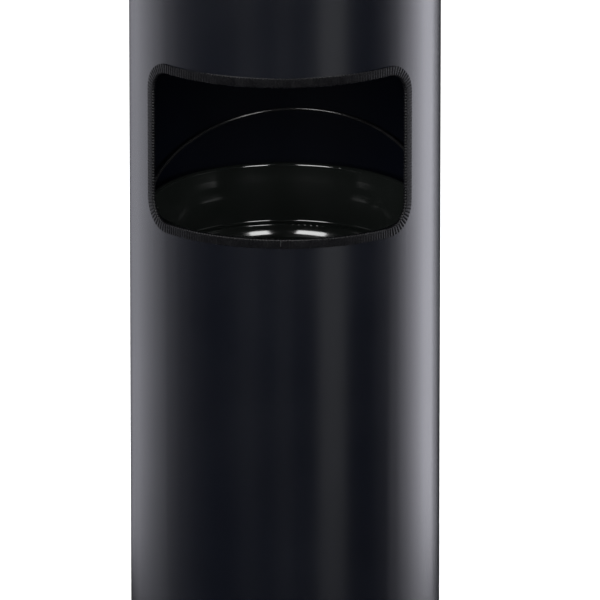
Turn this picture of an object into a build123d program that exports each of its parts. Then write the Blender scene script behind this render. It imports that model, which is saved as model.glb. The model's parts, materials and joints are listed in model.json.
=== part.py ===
from build123d import *
import math
import os

# Ashtray bin: a steel tube with a side opening, a lift-out bowl inside and a lift-off lid.
# Millimetres, +Z up, origin at the centre of the underside. The opening faces -Y.

# Tube and its opening. The opening's width is measured along the tube's skin.
tube_radius = 130.0
tube_sheet = 1.2
tube_inside = tube_radius - tube_sheet
tube_bottom = 4.0
tube_top = 608.0
opening_bottom = 390.0
opening_top = 523.5
opening_half_width = 122.5
opening_corner = 20.0
window_depth = 20.0

# Edge trim round the opening: how far it covers the wall, and how thick it is.
trim_cover = 6.8
trim_crown = 1.3
trim_wall = 1.2
core_cover = 5.0
core_crown = 0.4
core_sheet = 0.4
fit_gap = 0.05

# Bowl: rolled rim, flared wall, narrow ledge and round-edged floor.
bowl_sheet = 1.0
mouth_radius = 110.2
bead_radius = 2.5
bead_ring_radius = 112.5
bead_z = 382.0
flare_top_radius = 109.8
flare_top_z = 378.0
flare_foot_radius = 107.5
flare_foot_z = 363.0
ledge_outer = 106.4
ledge_inner = 102.4
ledge_z = 333.5
floor_radius = 99.5
floor_z = 311.0
bowl_bends = [150, 100, 2.5, 1.5, 23.5]
bowl_turn = -3.3

# Bail: wire handle on two ears, leaning back on the tube's wall.
wire_radius = 1.5
bail_half_width = 118.0
bail_reach = 138.8
bail_leg = 8.0
bail_pivot_z = 371.4
bail_lean = 23.8
bail_pin_tip = 111.8
bail_bend = 2.5
pin_clearance = 0.08

# Ears on the bowl's wall, in angles round the bowl.
ear_sheet = 1.0
ear_height = 10.0
ear_plate_radius = 113.8
ear_plate_angle = 3.8
ear_wall_angle = 0.6
ear_foot_angle = 9.5
ear_rivet_angle = 6.8
ear_rivet_radius = 1.5
ear_rivet_head = 2.6
ear_rivet_dome = 1.0

# Brackets that the bowl's rim hangs on.
bracket_sheet = 1.5
bracket_width_angle = 9.0
bracket_leg = 32.0
bracket_tip_radius = 111.5
bracket_gap = 0.1
bracket_corner = 2.5

# Lid.
lid_sheet = 1.2
skirt_inside = 130.7
skirt_bottom = 600.0
seal_thickness = 1.5
lid_seat_z = tube_top + seal_thickness
crown_foot_radius = 121.0
crown_edge_radius = 113.0
crown_edge_z = 614.5
pad_radius = 16.0
pad_z = 618.8
hem_radius = 1.0
lid_ring_outside = 127.9
lid_ring_sheet = 1.0
lid_ring_depth = 19.5
lid_ring_flange = 121.5
seal_inside = 128.1
seal_outside = 130.1

# Knob and its screw.
knob_height = 26.0
knob_foot_radius = 11.0
knob_waist_radius = 8.5
knob_head_radius = 20.0
knob_bore_depth = 14.0
screw_radius = 2.9
screw_bore = 3.0
screw_reach = 12.0
screw_head_radius = 5.0
screw_head_height = 3.6
screw_socket = 4.0
washer_radius = 9.0
washer_thickness = 1.4

# Base pressing, its rivets, and the ring under the tube.
base_sheet = 2.0
base_pan_radius = 100.0
base_rise_radius = 111.0
base_shoulder_z = 14.0
base_outside = 128.7
base_top = 40.0
anchor_circle_radius = 75.0
anchor_hole_radius = 4.5
base_rivet_z = 30.0
base_rivet_radius = 2.4
base_rivet_head = 4.8
quarter_turns = [45, 135, 225, 315]
floor_ring_inside = 126.3
floor_ring_outside = 133.0
floor_ring_top = 18.0


def revolved(face, start=0.0, sweep_angle=360.0):
    """Turn a face drawn on the XZ plane about Z, from a start angle."""
    return Rot(0, 0, start) * revolve(face, axis=Axis.Z, revolution_arc=sweep_angle)


def outline(points):
    """Closed face on the XZ plane through (radius, height) points."""
    return make_face(Plane.XZ * Polyline(*points, close=True))


def block(r_in, r_out, z_low, z_high, start=0.0, end=360.0):
    """Piece of a ring with a rectangular section."""
    corners = [(r_in, z_low), (r_out, z_low), (r_out, z_high), (r_in, z_high)]
    return revolved(outline(corners), start, end - start)


def pressed(points, radii, thickness, side):
    """Sheet-metal pressing: a filleted profile line thickened to one side and turned."""
    line = FilletPolyline(*points, radius=radii)
    face = make_face(Plane.XZ * offset(line, amount=thickness, side=side))
    return revolved(face)


def radial_rod(radius, r_in, r_out, angle, z):
    """Round bar on a line that points away from the tube's axis."""
    length = r_out - r_in
    bar = Cylinder(radius, length, align=(Align.CENTER, Align.CENTER, Align.MIN))
    return Rot(0, 0, angle) * Pos(r_in, 0, z) * Rot(0, 90, 0) * bar


def window(grow):
    """The opening as a thick solid with radial walls and round corners, grown on every side."""
    half_angle = math.degrees((opening_half_width + grow) / tube_radius)
    low = opening_bottom - grow
    high = opening_top + grow
    r_in = tube_radius - window_depth
    r_out = tube_radius + window_depth
    solid = block(r_in, r_out, low, high, 270 - half_angle, 270 + half_angle)
    radial = [e for e in solid.edges() if abs(e.length - 2 * window_depth) < 0.001]
    return fillet(radial, opening_corner + grow)


def tube_shell():
    shell = block(tube_inside, tube_radius, tube_bottom, tube_top)
    shell -= window(0)
    for angle in quarter_turns:
        shell -= radial_rod(base_rivet_radius + fit_gap, 120, 140, angle, base_rivet_z)
    return shell


def channel(grow, crown, r_in, r_out):
    """Frame that follows the opening's edge, from inside the edge to over the wall."""
    frame = window(grow) - window(-crown)
    return frame & block(r_in, r_out, opening_bottom - 30, opening_top + 30)


def sheet_slot(gap):
    """The tube's wall beside the opening, with a gap on each of its faces."""
    wall = block(tube_inside - gap, tube_radius + gap, opening_bottom - 30, opening_top + 30)
    return wall - window(-gap)


def trim_core():
    core = channel(core_cover, core_crown, tube_inside - core_sheet, tube_radius + core_sheet)
    return core - sheet_slot(fit_gap)


def aperture_trim():
    inner = tube_inside - trim_wall
    outer = tube_radius + trim_wall
    trim = channel(trim_cover, trim_crown, inner, outer)
    clip = core_sheet + fit_gap
    trim -= channel(core_cover + fit_gap, core_crown + fit_gap, tube_inside - clip, tube_radius + clip)
    return trim - sheet_slot(0)


def domed_rivet(radius, head_radius, head_height, r_in, r_out, angle, z):
    """Rivet through a wall from r_in to r_out: round head outside, flat head inside."""
    shank = radial_rod(radius, r_in - 0.5, r_out + 0.5, angle, z)
    head = radial_rod(head_radius, r_out, r_out + head_height, angle, z)
    rim = head.edges().filter_by(GeomType.CIRCLE).sort_by(lambda e: e.center().X**2 + e.center().Y**2)[-1]
    head = fillet(rim, head_height * 0.7)
    tail = radial_rod(head_radius * 0.75, r_in - head_height, r_in, angle, z)
    return shank + head + tail


def wall_slope():
    """Angle of the bowl's flared wall from upright, in degrees."""
    return math.degrees(math.atan2(flare_top_radius - flare_foot_radius, flare_top_z - flare_foot_z))


def wall_radius(z, out=0.0):
    """Radius of the flared wall at a height, on its inner face or a distance out from it."""
    slope = math.radians(wall_slope())
    return flare_top_radius - (flare_top_z - z) * math.tan(slope) + out / math.cos(slope)


def ear_rivet_angles():
    """Angles of the four ear rivets round the bowl."""
    return [side + bowl_turn + step for side in (0, 180) for step in (-ear_rivet_angle, ear_rivet_angle)]


def wall_rod(radius, low, high, angle):
    """Round bar square to the bowl's wall at the ears' height, from low to high out of its inner face."""
    bar = Cylinder(radius, high - low, align=(Align.CENTER, Align.CENTER, Align.MIN))
    place = Rot(0, 0, angle) * Pos(wall_radius(bail_pivot_z), 0, bail_pivot_z)
    return place * Rot(0, 90 + wall_slope(), 0) * Pos(0, 0, low) * bar


def bowl():
    profile = [
        (mouth_radius, bead_z),
        (flare_top_radius, flare_top_z),
        (flare_foot_radius, flare_foot_z),
        (ledge_outer, ledge_z),
        (ledge_inner, ledge_z),
        (floor_radius, floor_z),
        (0, floor_z),
    ]
    dish = pressed(profile, bowl_bends, bowl_sheet, Side.LEFT)
    bead = Plane.XZ * Pos(bead_ring_radius, bead_z) * Circle(bead_radius)
    dish += revolved(bead)
    for angle in ear_rivet_angles():
        dish -= wall_rod(ear_rivet_radius + fit_gap, -3, 3, angle)
    return dish


def ear(side_angle):
    """Bent strap with two feet on the wall and a raised plate that the bail's end goes through."""
    low = bail_pivot_z - ear_height / 2
    high = bail_pivot_z + ear_height / 2
    wall = bowl_sheet + fit_gap
    plate_out = ear_plate_radius + ear_sheet
    centre = side_angle + bowl_turn

    def strip(inner_low, inner_high, outer_low, outer_high, start, end):
        section = outline([(inner_low, low), (outer_low, low), (outer_high, high), (inner_high, high)])
        return revolved(section, min(start, end), abs(end - start))

    inner = [wall_radius(z, wall) for z in (low, high)]
    foot = [wall_radius(z, wall + ear_sheet) for z in (low, high)]
    plate_edge = centre + ear_plate_angle
    strap = block(ear_plate_radius, plate_out, low, high, 2 * centre - plate_edge, plate_edge)
    for sign in (-1, 1):
        plate_end = centre + sign * ear_plate_angle
        wall_end = plate_end - sign * ear_wall_angle
        foot_end = centre + sign * ear_foot_angle
        strap += strip(*inner, plate_out, plate_out, wall_end, plate_end)
        strap += strip(*inner, *foot, wall_end, foot_end)
        strap -= wall_rod(ear_rivet_radius + fit_gap, -3, 5, centre + sign * ear_rivet_angle)
    pin_hole = wire_radius + pin_clearance
    return strap - radial_rod(pin_hole, ear_plate_radius - 2, plate_out + 2, centre, bail_pivot_z)


def ear_rivets():
    """Rivets square to the bowl's wall: flat heads inside the bowl, round heads on the ears."""
    outside = bowl_sheet + fit_gap + ear_sheet
    rivets = []
    for angle in ear_rivet_angles():
        shank = wall_rod(ear_rivet_radius, -0.2, outside + 0.2, angle)
        flat = wall_rod(ear_rivet_head, -0.7, -fit_gap, angle)
        dome = wall_rod(ear_rivet_head, outside + fit_gap, outside + ear_rivet_dome, angle)
        rivets.append(shank + flat + dome)
    return rivets


def bail():
    """Round wire: two inward pins, two straight legs and half an oval between them."""
    right = FilletPolyline(
        (bail_pin_tip, 0), (bail_half_width, 0), (bail_half_width, bail_leg), radius=bail_bend
    )
    loop = EllipticalCenterArc(
        (0, bail_leg), bail_half_width, bail_reach - bail_leg, start_angle=0, arc_size=180
    )
    left = FilletPolyline(
        (-bail_half_width, bail_leg), (-bail_half_width, 0), (-bail_pin_tip, 0), radius=bail_bend
    )
    path = Wire(right.edges() + [loop.edge()] + left.edges())
    section = Plane(origin=(bail_pin_tip, 0, 0), z_dir=(1, 0, 0)) * Circle(wire_radius)
    wire = sweep(section, path=path)
    lean = math.radians(bail_lean)
    leaning = Plane(
        origin=(0, 0, bail_pivot_z), x_dir=(1, 0, 0), z_dir=(0, -math.sin(lean), math.cos(lean))
    )
    return Rot(0, 0, bowl_turn) * (leaning * wire)


def bracket(angle):
    """Angle bracket welded to the tube's wall, with its tongue under the bowl's rim."""
    top = bead_z - bead_radius - bracket_gap
    half = bracket_width_angle / 2
    leg = block(tube_inside - bracket_sheet, tube_inside, top - bracket_leg, top, angle - half, angle + half)
    tongue = block(bracket_tip_radius, tube_inside, top - bracket_sheet, top, angle - half, angle + half)
    corners = tongue.edges().filter_by(Axis.Z).sort_by(lambda e: e.center().X**2 + e.center().Y**2)[:2]
    return leg + fillet(corners, bracket_corner)


def lid_cap():
    profile = [
        (skirt_inside, skirt_bottom),
        (skirt_inside, lid_seat_z),
        (crown_foot_radius, lid_seat_z),
        (crown_edge_radius, crown_edge_z),
        (pad_radius, pad_z),
        (0, pad_z),
    ]
    cap = pressed(profile, [0.5, 4, 8, 60], lid_sheet, Side.RIGHT)
    hem = Plane.XZ * Pos(skirt_inside + hem_radius, skirt_bottom) * Circle(hem_radius)
    cap += revolved(hem)
    return cap - Pos(0, 0, pad_z) * Cylinder(screw_bore + 0.2, 8)


def lid_ring():
    low = lid_seat_z - lid_ring_depth
    inside = lid_ring_outside - lid_ring_sheet
    wall = block(inside, lid_ring_outside, low, lid_seat_z)
    return wall + block(lid_ring_flange, lid_ring_outside, lid_seat_z - lid_ring_sheet, lid_seat_z)


def lid_seal():
    return block(seal_inside, seal_outside, tube_top, lid_seat_z)


def lid_knob():
    foot = pad_z + lid_sheet
    waist = foot + 0.35 * knob_height
    shoulder = foot + 0.62 * knob_height
    rim = foot + 0.82 * knob_height
    top = foot + knob_height
    profile = [
        (0, foot),
        (knob_foot_radius, foot),
        (knob_waist_radius, waist),
        (knob_head_radius - 1.5, shoulder),
        (knob_head_radius, rim),
        (0.6 * knob_head_radius, top),
        (0, top),
    ]
    knob = revolved(outline(profile))
    creases = [e for e in knob.edges() if e.geom_type == GeomType.CIRCLE and e.center().Z > foot + 1]
    knob = fillet(creases, 2.0)
    bore = Cylinder(screw_bore, knob_bore_depth, align=(Align.CENTER, Align.CENTER, Align.MIN))
    return knob - Pos(0, 0, foot) * bore


def knob_washer():
    low = pad_z - washer_thickness
    return block(screw_bore + 0.2, washer_radius, low, pad_z)


def knob_screw():
    head_top = pad_z - washer_thickness
    base = (Align.CENTER, Align.CENTER, Align.MIN)
    head_place = Pos(0, 0, head_top - screw_head_height)
    head = head_place * Cylinder(screw_head_radius, screw_head_height, align=base)
    head = fillet(head.edges().filter_by(GeomType.CIRCLE).sort_by(Axis.Z)[0], 1.5)
    shank_length = pad_z - head_top + lid_sheet + screw_reach
    shank = Pos(0, 0, head_top) * Cylinder(screw_radius, shank_length, align=base)
    socket = extrude(RegularPolygon(screw_socket / 2, 6, major_radius=False), amount=2.0)
    return head + shank - head_place * socket


def base_plate():
    profile = [
        (0, 0),
        (base_pan_radius, 0),
        (base_rise_radius, base_shoulder_z),
        (base_outside, base_shoulder_z),
        (base_outside, base_top),
    ]
    pan = pressed(profile, [5, 5, 3], base_sheet, Side.LEFT)
    for angle in quarter_turns:
        hole = Cylinder(anchor_hole_radius, 10)
        pan -= Rot(0, 0, angle) * Pos(anchor_circle_radius, 0, 0) * hole
        pan -= radial_rod(base_rivet_radius + fit_gap, 120, 140, angle, base_rivet_z)
    return pan


def base_rivets():
    inside = base_outside - base_sheet - 2 * fit_gap
    return [
        domed_rivet(base_rivet_radius, base_rivet_head, 1.5, inside, tube_radius, angle, base_rivet_z)
        for angle in quarter_turns
    ]


def floor_ring():
    slot_in = base_outside
    slot_out = tube_radius + 0.2
    profile = [
        (floor_ring_inside, 0),
        (floor_ring_outside, 0),
        (floor_ring_outside, floor_ring_top),
        (slot_out, floor_ring_top),
        (slot_out, tube_bottom),
        (slot_in, tube_bottom),
        (slot_in, base_shoulder_z),
        (floor_ring_inside, base_shoulder_z),
    ]
    ring = revolved(outline(profile))
    lip = [
        e for e in ring.edges().filter_by(GeomType.CIRCLE)
        if abs(e.radius - floor_ring_outside) < 0.01 and e.center().Z > 1
    ]
    return fillet(lip, 1.5)


def write(name, shape):
    solids = shape if isinstance(shape, list) else [shape]
    export_step(Compound(children=[s for item in solids for s in item.solids()]), f"parts/{name}.step")


os.makedirs("parts", exist_ok=True)
write("tube_shell", tube_shell())
write("aperture_trim", aperture_trim())
write("trim_core", trim_core())
write("bowl", bowl())
write("ear_right", ear(0))
write("ear_left", ear(180))
write("ear_rivets", ear_rivets())
write("bail", bail())
write("bracket_rear", bracket(90))
write("bracket_left", bracket(210))
write("bracket_right", bracket(330))
write("lid_cap", lid_cap())
write("lid_ring", lid_ring())
write("lid_seal", lid_seal())
write("lid_knob", lid_knob())
write("knob_screw", knob_screw())
write("knob_washer", knob_washer())
write("base_plate", base_plate())
write("base_rivets", base_rivets())
write("floor_ring", floor_ring())
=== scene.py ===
import bpy
import json
import math
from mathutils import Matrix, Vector


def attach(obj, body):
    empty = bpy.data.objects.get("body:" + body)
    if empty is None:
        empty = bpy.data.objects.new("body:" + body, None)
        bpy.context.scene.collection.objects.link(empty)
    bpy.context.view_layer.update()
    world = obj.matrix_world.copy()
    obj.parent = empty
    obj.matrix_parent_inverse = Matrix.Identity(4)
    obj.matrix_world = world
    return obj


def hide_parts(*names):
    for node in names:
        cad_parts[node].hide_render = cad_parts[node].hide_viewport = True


# Looks of the ashtray bin. Metres, in the frame of the CAD model: +Z up, the side opening faces -Y.

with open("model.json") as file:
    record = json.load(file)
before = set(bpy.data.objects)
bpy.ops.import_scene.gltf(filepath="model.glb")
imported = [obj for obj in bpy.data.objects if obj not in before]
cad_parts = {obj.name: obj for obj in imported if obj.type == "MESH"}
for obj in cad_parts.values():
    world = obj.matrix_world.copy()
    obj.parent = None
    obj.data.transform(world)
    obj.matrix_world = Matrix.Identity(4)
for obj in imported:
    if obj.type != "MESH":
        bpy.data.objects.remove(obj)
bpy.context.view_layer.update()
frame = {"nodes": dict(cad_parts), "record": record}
MM = 0.001


def direction(azimuth, elevation):
    """Unit vector from the bin towards a place round it. Azimuth 0 is in front, 90 on the right."""
    a = math.radians(azimuth)
    e = math.radians(elevation)
    return Vector((math.sin(a) * math.cos(e), -math.cos(a) * math.cos(e), math.sin(e)))


# ---------------------------------------------------------------- camera

CAMERA_AZIMUTH = 3.5
CAMERA_ELEVATION = 17.39
CAMERA_DISTANCE = 12.0
CAMERA_LENS = 858.9
AIM_HEIGHT = 0.2978
AIM_SIDE = 0.0125


def make_camera():
    """Long lens in front of the opening, a little to its right and looking down on it."""
    data = bpy.data.cameras.new("camera")
    data.lens = CAMERA_LENS
    data.sensor_width = 36.0
    data.clip_start = 0.5
    data.clip_end = 100.0
    camera = bpy.data.objects.new("camera", data)
    bpy.context.scene.collection.objects.link(camera)
    back = direction(CAMERA_AZIMUTH, CAMERA_ELEVATION)
    side = direction(CAMERA_AZIMUTH + 90, 0)
    camera.location = Vector((0, 0, AIM_HEIGHT)) + side * AIM_SIDE + back * CAMERA_DISTANCE
    camera.rotation_euler = (-back).to_track_quat("-Z", "Y").to_euler()
    bpy.context.scene.camera = camera


# ---------------------------------------------------------------- materials


class Finish:
    """A material with a principled shader, and short calls that add texture nodes to it."""

    def __init__(self, name):
        self.material = bpy.data.materials.new(name)
        self.material.use_nodes = True
        self.nodes = self.material.node_tree.nodes
        self.links = self.material.node_tree.links
        self.shader = self.nodes["Principled BSDF"]
        self.coords = self.nodes.new("ShaderNodeTexCoord").outputs["Object"]

    def set(self, **values):
        """Values for the shader's inputs, with _ for each space in a name."""
        for name, value in values.items():
            self.shader.inputs[name.replace("_", " ")].default_value = value
        return self

    def noise(self, scale, detail=3.0, stretch=(1, 1, 1)):
        """Noise over the object's own coordinates. Scale is in waves per metre."""
        mapping = self.nodes.new("ShaderNodeMapping")
        mapping.inputs["Scale"].default_value = stretch
        texture = self.nodes.new("ShaderNodeTexNoise")
        texture.inputs["Scale"].default_value = scale
        texture.inputs["Detail"].default_value = detail
        self.links.new(self.coords, mapping.inputs["Vector"])
        self.links.new(mapping.outputs["Vector"], texture.inputs["Vector"])
        return texture.outputs["Fac"]

    def cells(self, scale):
        """Random grey for each cell of a Voronoi pattern."""
        texture = self.nodes.new("ShaderNodeTexVoronoi")
        texture.inputs["Scale"].default_value = scale
        self.links.new(self.coords, texture.inputs["Vector"])
        return texture.outputs["Color"]

    def radius(self):
        """Distance from the bin's axis, in metres."""
        flat = self.nodes.new("ShaderNodeVectorMath")
        flat.operation = "MULTIPLY"
        flat.inputs[1].default_value = (1, 1, 0)
        length = self.nodes.new("ShaderNodeVectorMath")
        length.operation = "LENGTH"
        self.links.new(self.coords, flat.inputs[0])
        self.links.new(flat.outputs["Vector"], length.inputs[0])
        return length.outputs["Value"]

    def blend(self, share, low, value):
        """A number that goes from low to a value as the share goes from 0 to 1."""
        node = self.nodes.new("ShaderNodeMix")
        node.inputs["A"].default_value = low
        self.links.new(share, node.inputs["Factor"])
        self.links.new(value, node.inputs["B"])
        return node.outputs["Result"]

    def ranged(self, value, low, high, start=0.3, end=0.7):
        """Value from start to end, mapped to low to high."""
        node = self.nodes.new("ShaderNodeMapRange")
        node.inputs["From Min"].default_value = start
        node.inputs["From Max"].default_value = end
        node.inputs["To Min"].default_value = low
        node.inputs["To Max"].default_value = high
        self.links.new(value, node.inputs["Value"])
        return node.outputs["Result"]

    def colours(self, value, dark, light, start=0.3, end=0.7):
        """Colour that goes from dark to light with a value."""
        ramp = self.nodes.new("ShaderNodeValToRGB")
        ramp.color_ramp.elements[0].position = start
        ramp.color_ramp.elements[0].color = (*dark, 1)
        ramp.color_ramp.elements[1].position = end
        ramp.color_ramp.elements[1].color = (*light, 1)
        self.links.new(value, ramp.inputs["Fac"])
        self.links.new(ramp.outputs["Color"], self.shader.inputs["Base Color"])
        return self

    def rough(self, value, low, high):
        """Roughness that goes from low to high with a value."""
        self.links.new(self.ranged(value, low, high), self.shader.inputs["Roughness"])
        return self

    def bump(self, value, height, strength=1.0):
        """Bump of a height in metres. A second call stacks on the first."""
        node = self.nodes.new("ShaderNodeBump")
        node.inputs["Distance"].default_value = height
        node.inputs["Strength"].default_value = strength
        self.links.new(value, node.inputs["Height"])
        normal = self.shader.inputs["Normal"]
        if normal.is_linked:
            self.links.new(normal.links[0].from_socket, node.inputs["Normal"])
        self.links.new(node.outputs["Normal"], normal)
        return self


# Radii between which the coat goes from the tube's matt inside to its satin outside.
SKIN_START = 0.1291
SKIN_END = 0.1297


def powder_coat():
    """Satin black powder coat with fine orange peel, and matt inside the tube."""
    finish = Finish("powder_black")
    peel = finish.noise(650, 2.0)
    finish.colours(finish.noise(14, 4.0), (0.0007, 0.0010, 0.0023), (0.0011, 0.0015, 0.0030))
    outside = finish.ranged(finish.radius(), 0.0, 1.0, SKIN_START, SKIN_END)
    gloss = finish.ranged(finish.noise(9, 3.0), 0.22, 0.25)
    finish.links.new(finish.blend(outside, 0.45, gloss), finish.shader.inputs["Roughness"])
    level = finish.ranged(outside, 0.03, 0.5, 0.0, 1.0)
    finish.links.new(level, finish.shader.inputs["Specular IOR Level"])
    finish.bump(peel, 0.00002)
    return finish.set(IOR=1.5).material


def gloss_enamel():
    """Gloss black enamel of the bowl, with the faint waves of a deep-drawn sheet."""
    finish = Finish("enamel_black")
    finish.colours(finish.noise(25, 3.0), (0.0034, 0.0041, 0.0037), (0.0050, 0.0058, 0.0054))
    finish.rough(finish.noise(40, 4.0), 0.09, 0.12)
    finish.bump(finish.noise(60, 2.0), 0.00002)
    return finish.set(IOR=1.5).material


def trim_rubber():
    """Black edge trim, with less shine than a paint."""
    finish = Finish("trim_rubber")
    finish.colours(finish.noise(120, 4.0), (0.0010, 0.0010, 0.0013), (0.0022, 0.0022, 0.0026))
    finish.rough(finish.noise(300, 3.0), 0.22, 0.32)
    finish.bump(finish.noise(2500, 3.0), 0.00003)
    return finish.set(IOR=1.21).material


def zinc_plate():
    """Zinc plate with a faint spangle."""
    finish = Finish("zinc_steel")
    finish.colours(finish.cells(400), (0.42, 0.43, 0.45), (0.62, 0.62, 0.62), 0.1, 0.9)
    finish.rough(finish.noise(500, 3.0), 0.28, 0.45)
    finish.bump(finish.noise(1200, 3.0), 0.00002)
    return finish.set(Metallic=1.0).material


def spring_steel():
    """Bare spring steel, drawn along its height."""
    finish = Finish("spring_steel")
    finish.colours(finish.noise(300, 4.0), (0.22, 0.22, 0.24), (0.38, 0.38, 0.39))
    finish.rough(finish.noise(900, 2.0), 0.25, 0.4)
    finish.bump(finish.noise(2000, 2.0, (1, 1, 6)), 0.00001)
    return finish.set(Metallic=1.0).material


def coated_wire():
    """Gloss black coat on drawn wire."""
    finish = Finish("wire_black")
    finish.colours(finish.noise(90, 3.0), (0.004, 0.004, 0.0045), (0.007, 0.007, 0.0075))
    finish.rough(finish.noise(200, 3.0), 0.12, 0.2)
    finish.bump(finish.noise(400, 2.0, (0.2, 1, 1)), 0.000005)
    return finish.material


def knob_plastic():
    """Moulded black plastic of the knob."""
    finish = Finish("knob_plastic")
    finish.colours(finish.noise(60, 3.0), (0.009, 0.009, 0.009), (0.014, 0.014, 0.014))
    finish.rough(finish.noise(200, 3.0), 0.22, 0.32)
    finish.bump(finish.noise(1500, 3.0), 0.00001)
    return finish.material


def ring_plastic():
    """Rough black plastic of the floor ring."""
    finish = Finish("ring_plastic")
    finish.colours(finish.noise(80, 4.0), (0.012, 0.012, 0.012), (0.02, 0.02, 0.02))
    finish.rough(finish.noise(150, 3.0), 0.45, 0.6)
    finish.bump(finish.noise(1800, 3.0), 0.00004)
    return finish.material


def seal_rubber():
    """Matt rubber of the lid's seal."""
    finish = Finish("seal_rubber")
    finish.colours(finish.noise(500, 3.0), (0.01, 0.01, 0.01), (0.03, 0.03, 0.03))
    finish.rough(finish.noise(900, 3.0), 0.7, 0.85)
    finish.bump(finish.noise(2500, 4.0), 0.00008)
    return finish.material


def paint_cad_nodes():
    """Every CAD node that stays takes the finish of its material slot."""
    makers = {
        "powder_black": powder_coat,
        "enamel_black": gloss_enamel,
        "trim_rubber": trim_rubber,
        "spring_steel": spring_steel,
        "zinc_steel": zinc_plate,
        "wire_black": coated_wire,
        "knob_plastic": knob_plastic,
        "ring_plastic": ring_plastic,
        "seal_rubber": seal_rubber,
    }
    made = {slot: make() for slot, make in makers.items()}
    slots = {row["node"]: row["material_slot"] for row in frame["record"]["subparts"]}
    for node, obj in frame["nodes"].items():
        obj.data.materials.clear()
        obj.data.materials.append(made[slots[node]])
    return made


# ---------------------------------------------------------------- edge trim

# The tube, and the edge of its opening. The half width is measured along the tube's skin.
TUBE_RADIUS = 130.0 * MM
TUBE_SHEET = 1.2 * MM
EDGE_HALF_WIDTH = 122.5 * MM
EDGE_BOTTOM = 390.0 * MM
EDGE_TOP = 523.5 * MM
EDGE_CORNER = 20.0 * MM

# The trim: how far it covers the wall and stands past the edge, its bends, its ribs and its butt.
# The drop is how much lower its upper run sits at the left end.
TRIM_DROP = 1.6 * MM
TRIM_COVER = 6.8 * MM
TRIM_THICK = 3.6 * MM
TRIM_OUTSIDE = TUBE_RADIUS + 1.2 * MM
TRIM_CROWN = 1.3 * MM
TRIM_LIP = 0.3 * MM
TRIM_NOSE = 1.75 * MM
TRIM_FRONT_BEND = 1.5 * MM
BEND_STEPS = 6
RIB_PITCH = 2.5 * MM
RIB_DEPTH = 0.42 * MM
RIB_STEPS = 6
BUTT_GAP = 0.4 * MM
BUTT_SIDE = 4.5 * MM


def edge_path():
    """Points round the opening's edge, flat, from the butt in its lower side and back, with
    the way out of the opening at each one. Each point is (along the skin, up, out u, out z)."""
    flat = EDGE_HALF_WIDTH - EDGE_CORNER
    low = EDGE_BOTTOM + EDGE_CORNER
    high = EDGE_TOP - EDGE_CORNER
    high_left = high - TRIM_DROP
    quarter = EDGE_CORNER * math.pi / 2
    runs = [
        (flat, lambda t: (t, EDGE_BOTTOM, 0, -1)),
        (quarter, lambda t: corner(flat, low, -90 + math.degrees(t / EDGE_CORNER))),
        (high - low, lambda t: (EDGE_HALF_WIDTH, low + t, 1, 0)),
        (quarter, lambda t: corner(flat, high, math.degrees(t / EDGE_CORNER))),
        (2 * flat, lambda t: (flat - t, EDGE_TOP - TRIM_DROP * t / (2 * flat), 0, 1)),
        (quarter, lambda t: corner(-flat, high_left, 90 + math.degrees(t / EDGE_CORNER))),
        (high_left - low, lambda t: (-EDGE_HALF_WIDTH, high_left - t, -1, 0)),
        (quarter, lambda t: corner(-flat, low, 180 + math.degrees(t / EDGE_CORNER))),
        (flat, lambda t: (-flat + t, EDGE_BOTTOM, 0, -1)),
    ]
    total = sum(length for length, _ in runs)
    ribs = round((total - BUTT_GAP) / RIB_PITCH)
    steps = ribs * RIB_STEPS
    points = []
    for i in range(steps + 1):
        s = (BUTT_SIDE + BUTT_GAP / 2 + (total - BUTT_GAP) * i / steps) % total
        for length, place in runs:
            if s <= length:
                points.append(place(s))
                break
            s -= length
    return points


def corner(u, z, angle):
    """Point on a rounded corner of the edge, whose bend is centred on u and z."""
    a = math.radians(angle)
    return u + EDGE_CORNER * math.cos(a), z + EDGE_CORNER * math.sin(a), math.cos(a), math.sin(a)


def trim_section():
    """Section of the trim. Each point is (out of the opening, radius, share of the rib's depth,
    radial part of the way out of the section)."""
    outer = TRIM_OUTSIDE
    inner = outer - TRIM_THICK
    section = [(TRIM_COVER, TUBE_RADIUS, 0, 0)]
    corners = [
        (TRIM_COVER - TRIM_LIP, outer - TRIM_LIP, TRIM_LIP, 0),
        (TRIM_FRONT_BEND - TRIM_CROWN, outer - TRIM_FRONT_BEND, TRIM_FRONT_BEND, 90),
        (TRIM_NOSE - TRIM_CROWN, inner + TRIM_NOSE, TRIM_NOSE, 180),
        (TRIM_COVER - TRIM_LIP, inner + TRIM_LIP, TRIM_LIP, 270),
    ]
    for out, radius, bend, start in corners:
        for k in range(BEND_STEPS + 1):
            a = math.radians(start + 90 * k / BEND_STEPS)
            section.append((out + bend * math.cos(a), radius + bend * math.sin(a), 1, math.sin(a)))
    section.append((TRIM_COVER, TUBE_RADIUS - TUBE_SHEET, 0, 0))
    return section


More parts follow.
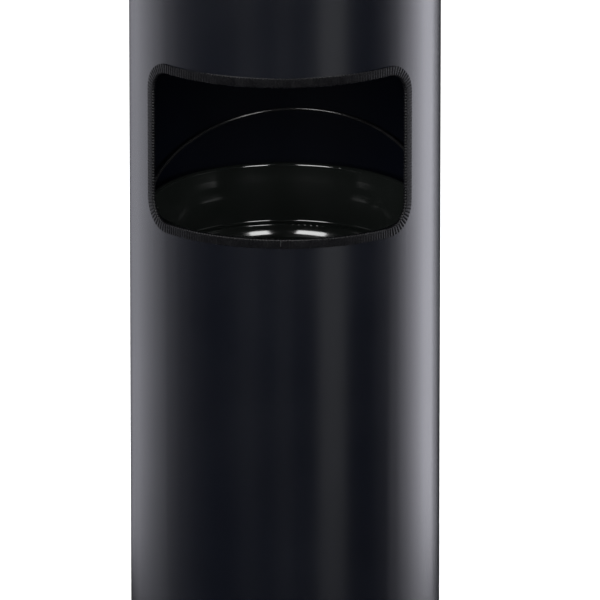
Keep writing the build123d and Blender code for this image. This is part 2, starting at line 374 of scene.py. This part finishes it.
def make_trim(material):
    """Ribbed edge trim: the section carried round the opening, with a groove between ribs."""
    section = trim_section()
    path = edge_path()
    verts = []
    for i, (u, z, out_u, out_z) in enumerate(path):
        phase = (i % RIB_STEPS) / RIB_STEPS
        groove = RIB_DEPTH * (1 - math.sin(math.pi * phase))
        for out, radius, share, radial in section:
            r = radius - groove * share * radial
            n = out + groove * share * (1 - abs(radial))
            angle = (u + n * out_u) / TUBE_RADIUS
            verts.append((r * math.sin(angle), -r * math.cos(angle), z + n * out_z))
    count = len(section)
    faces = []
    for i in range(len(path) - 1):
        for k in range(count - 1):
            a = i * count + k
            faces.append((a, a + count, a + count + 1, a + 1))
        faces.append((i * count, i * count + count - 1, (i + 2) * count - 1, (i + 1) * count))
    faces.append(tuple(range(count)))
    faces.append(tuple(reversed(range((len(path) - 1) * count, len(path) * count))))
    mesh = bpy.data.meshes.new("ribbed_trim")
    mesh.from_pydata(verts, [], faces)
    mesh.validate()
    mesh.materials.append(material)
    for polygon in mesh.polygons:
        polygon.use_smooth = True
    trim = bpy.data.objects.new("ribbed_trim", mesh)
    bpy.context.scene.collection.objects.link(trim)
    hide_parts("aperture_trim")
    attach(trim, "casing")


# ---------------------------------------------------------------- studio


def softbox(name, azimuth, elevation, distance, width, height, power, colour, centre):
    """Rectangular light that faces the bin's axis at the height of its centre."""
    data = bpy.data.lights.new(name, "AREA")
    data.shape = "RECTANGLE"
    data.size = width
    data.size_y = height
    data.energy = power
    data.color = colour
    light = bpy.data.objects.new(name, data)
    bpy.context.scene.collection.objects.link(light)
    out = direction(azimuth, elevation)
    light.location = Vector((0, 0, centre)) + out * distance
    light.rotation_euler = (-out).to_track_quat("-Z", "Y").to_euler()
    light.visible_camera = False


def panel_power(width, height, glow):
    """Power of a panel that looks as bright as a glow, where 1 is white."""
    return math.pi * width * height * glow


WHITE = (1, 1, 1)
COOL = (0.96, 0.96, 1.06)
PANEL_DISTANCE = 2.2
PANEL_HEIGHT = 1.6
PANEL_CENTRE = 0.15

# Upright strips round the bin: azimuth, how wide each looks from the axis in degrees, and glow.
LEFT_PANELS = (
    (-160, 14, 0.25),
    (-146, 14, 0.72),
    (-132, 14, 1.12),
    (-118, 14, 1.22),
    (-104, 14, 1.07),
    (-90, 14, 0.6),
    (-76, 14, 0.28),
    (-62, 14, 0.1),
)
RIGHT_PANELS = (
    (78, 14, 0.12),
    (90, 12, 0.55),
    (102, 12, 1.6),
    (114, 12, 2.7),
    (126, 12, 3.2),
    (138, 12, 2.5),
    (150, 12, 0.6),
)
FRONT_PANELS = (
    (-23, 14, 0.08),
    (3, 12, 0.12),
    (38, 20, 0.52),
)

SOFTBOX_CENTRE = 0.3
FLOOR_HALF_SIDE = 60.0
FLOOR_DROP = 0.5 * MM
FLOOR_GLOW = 0.8

# The overhead sun: its strength, how wide it is in degrees, and its tilt about X and Y.
SUN_STRENGTH = 0.5
SUN_SPREAD = 80
SUN_TILT = (12, -10)

# Softboxes: name, azimuth, elevation, distance, width, height and glow.
SOFTBOXES = (
    ("front_right", 34.5, 21, 3.2, 1.65, 1.3, 16.0),
    ("back_high", 180, 32, 4.0, 5.0, 2.4, 0.7),
    ("low_left", -105, -44, 2.6, 1.0, 1.5, 0.7),
    ("low_right", 118, -44, 2.6, 1.0, 1.5, 0.7),
    ("front_left", -29.5, 21, 3.2, 2.35, 1.3, 16.0),
)


def tall_panel(name, azimuth, angle, glow, colour):
    """Upright strip that reaches below the floor, so the tube's low reflections find it."""
    width = 2 * PANEL_DISTANCE * math.tan(math.radians(angle / 2))
    power = panel_power(width, PANEL_HEIGHT, glow)
    softbox(name, azimuth, 0, PANEL_DISTANCE, width, PANEL_HEIGHT, power, colour, PANEL_CENTRE)


def make_studio():
    """White background and glowing floor, a weak wide sun, and the panels and softboxes."""
    world = bpy.data.worlds.new("studio")
    bpy.context.scene.world = world
    world.use_nodes = True
    background = world.node_tree.nodes["Background"]
    background.inputs["Color"].default_value = (1, 1, 1, 1)
    background.inputs["Strength"].default_value = 1.0
    world.cycles_visibility.diffuse = False
    world.cycles_visibility.glossy = False
    bpy.context.scene.view_settings.view_transform = "Standard"

    mesh = bpy.data.meshes.new("floor")
    side = FLOOR_HALF_SIDE
    low = -FLOOR_DROP
    square = [(-side, -side, low), (side, -side, low), (side, side, low), (-side, side, low)]
    mesh.from_pydata(square, [], [(0, 1, 2, 3)])
    floor = bpy.data.objects.new("floor", mesh)
    bpy.context.scene.collection.objects.link(floor)
    finish = Finish("floor_paper")
    finish.colours(finish.noise(3, 2.0), (0.86, 0.86, 0.86), (0.90, 0.90, 0.90))
    finish.set(Roughness=0.9, Emission_Color=(1, 1, 1, 1), Emission_Strength=FLOOR_GLOW)
    mesh.materials.append(finish.material)
    floor.visible_glossy = False
    floor.visible_shadow = False

    sun = bpy.data.lights.new("overhead", "SUN")
    sun.energy = SUN_STRENGTH
    sun.angle = math.radians(SUN_SPREAD)
    overhead = bpy.data.objects.new("overhead", sun)
    bpy.context.scene.collection.objects.link(overhead)
    overhead.rotation_euler = (math.radians(SUN_TILT[0]), math.radians(SUN_TILT[1]), 0)

    for name, panels, colour in (
        ("left", LEFT_PANELS, COOL),
        ("right", RIGHT_PANELS, COOL),
        ("front", FRONT_PANELS, WHITE),
    ):
        for azimuth, angle, glow in panels:
            tall_panel(name, azimuth, angle, glow, colour)
    for name, azimuth, elevation, distance, width, height, glow in SOFTBOXES:
        power = panel_power(width, height, glow)
        softbox(name, azimuth, elevation, distance, width, height, power, WHITE, SOFTBOX_CENTRE)


make_camera()
finishes = paint_cad_nodes()
make_trim(finishes["trim_rubber"])
make_studio()
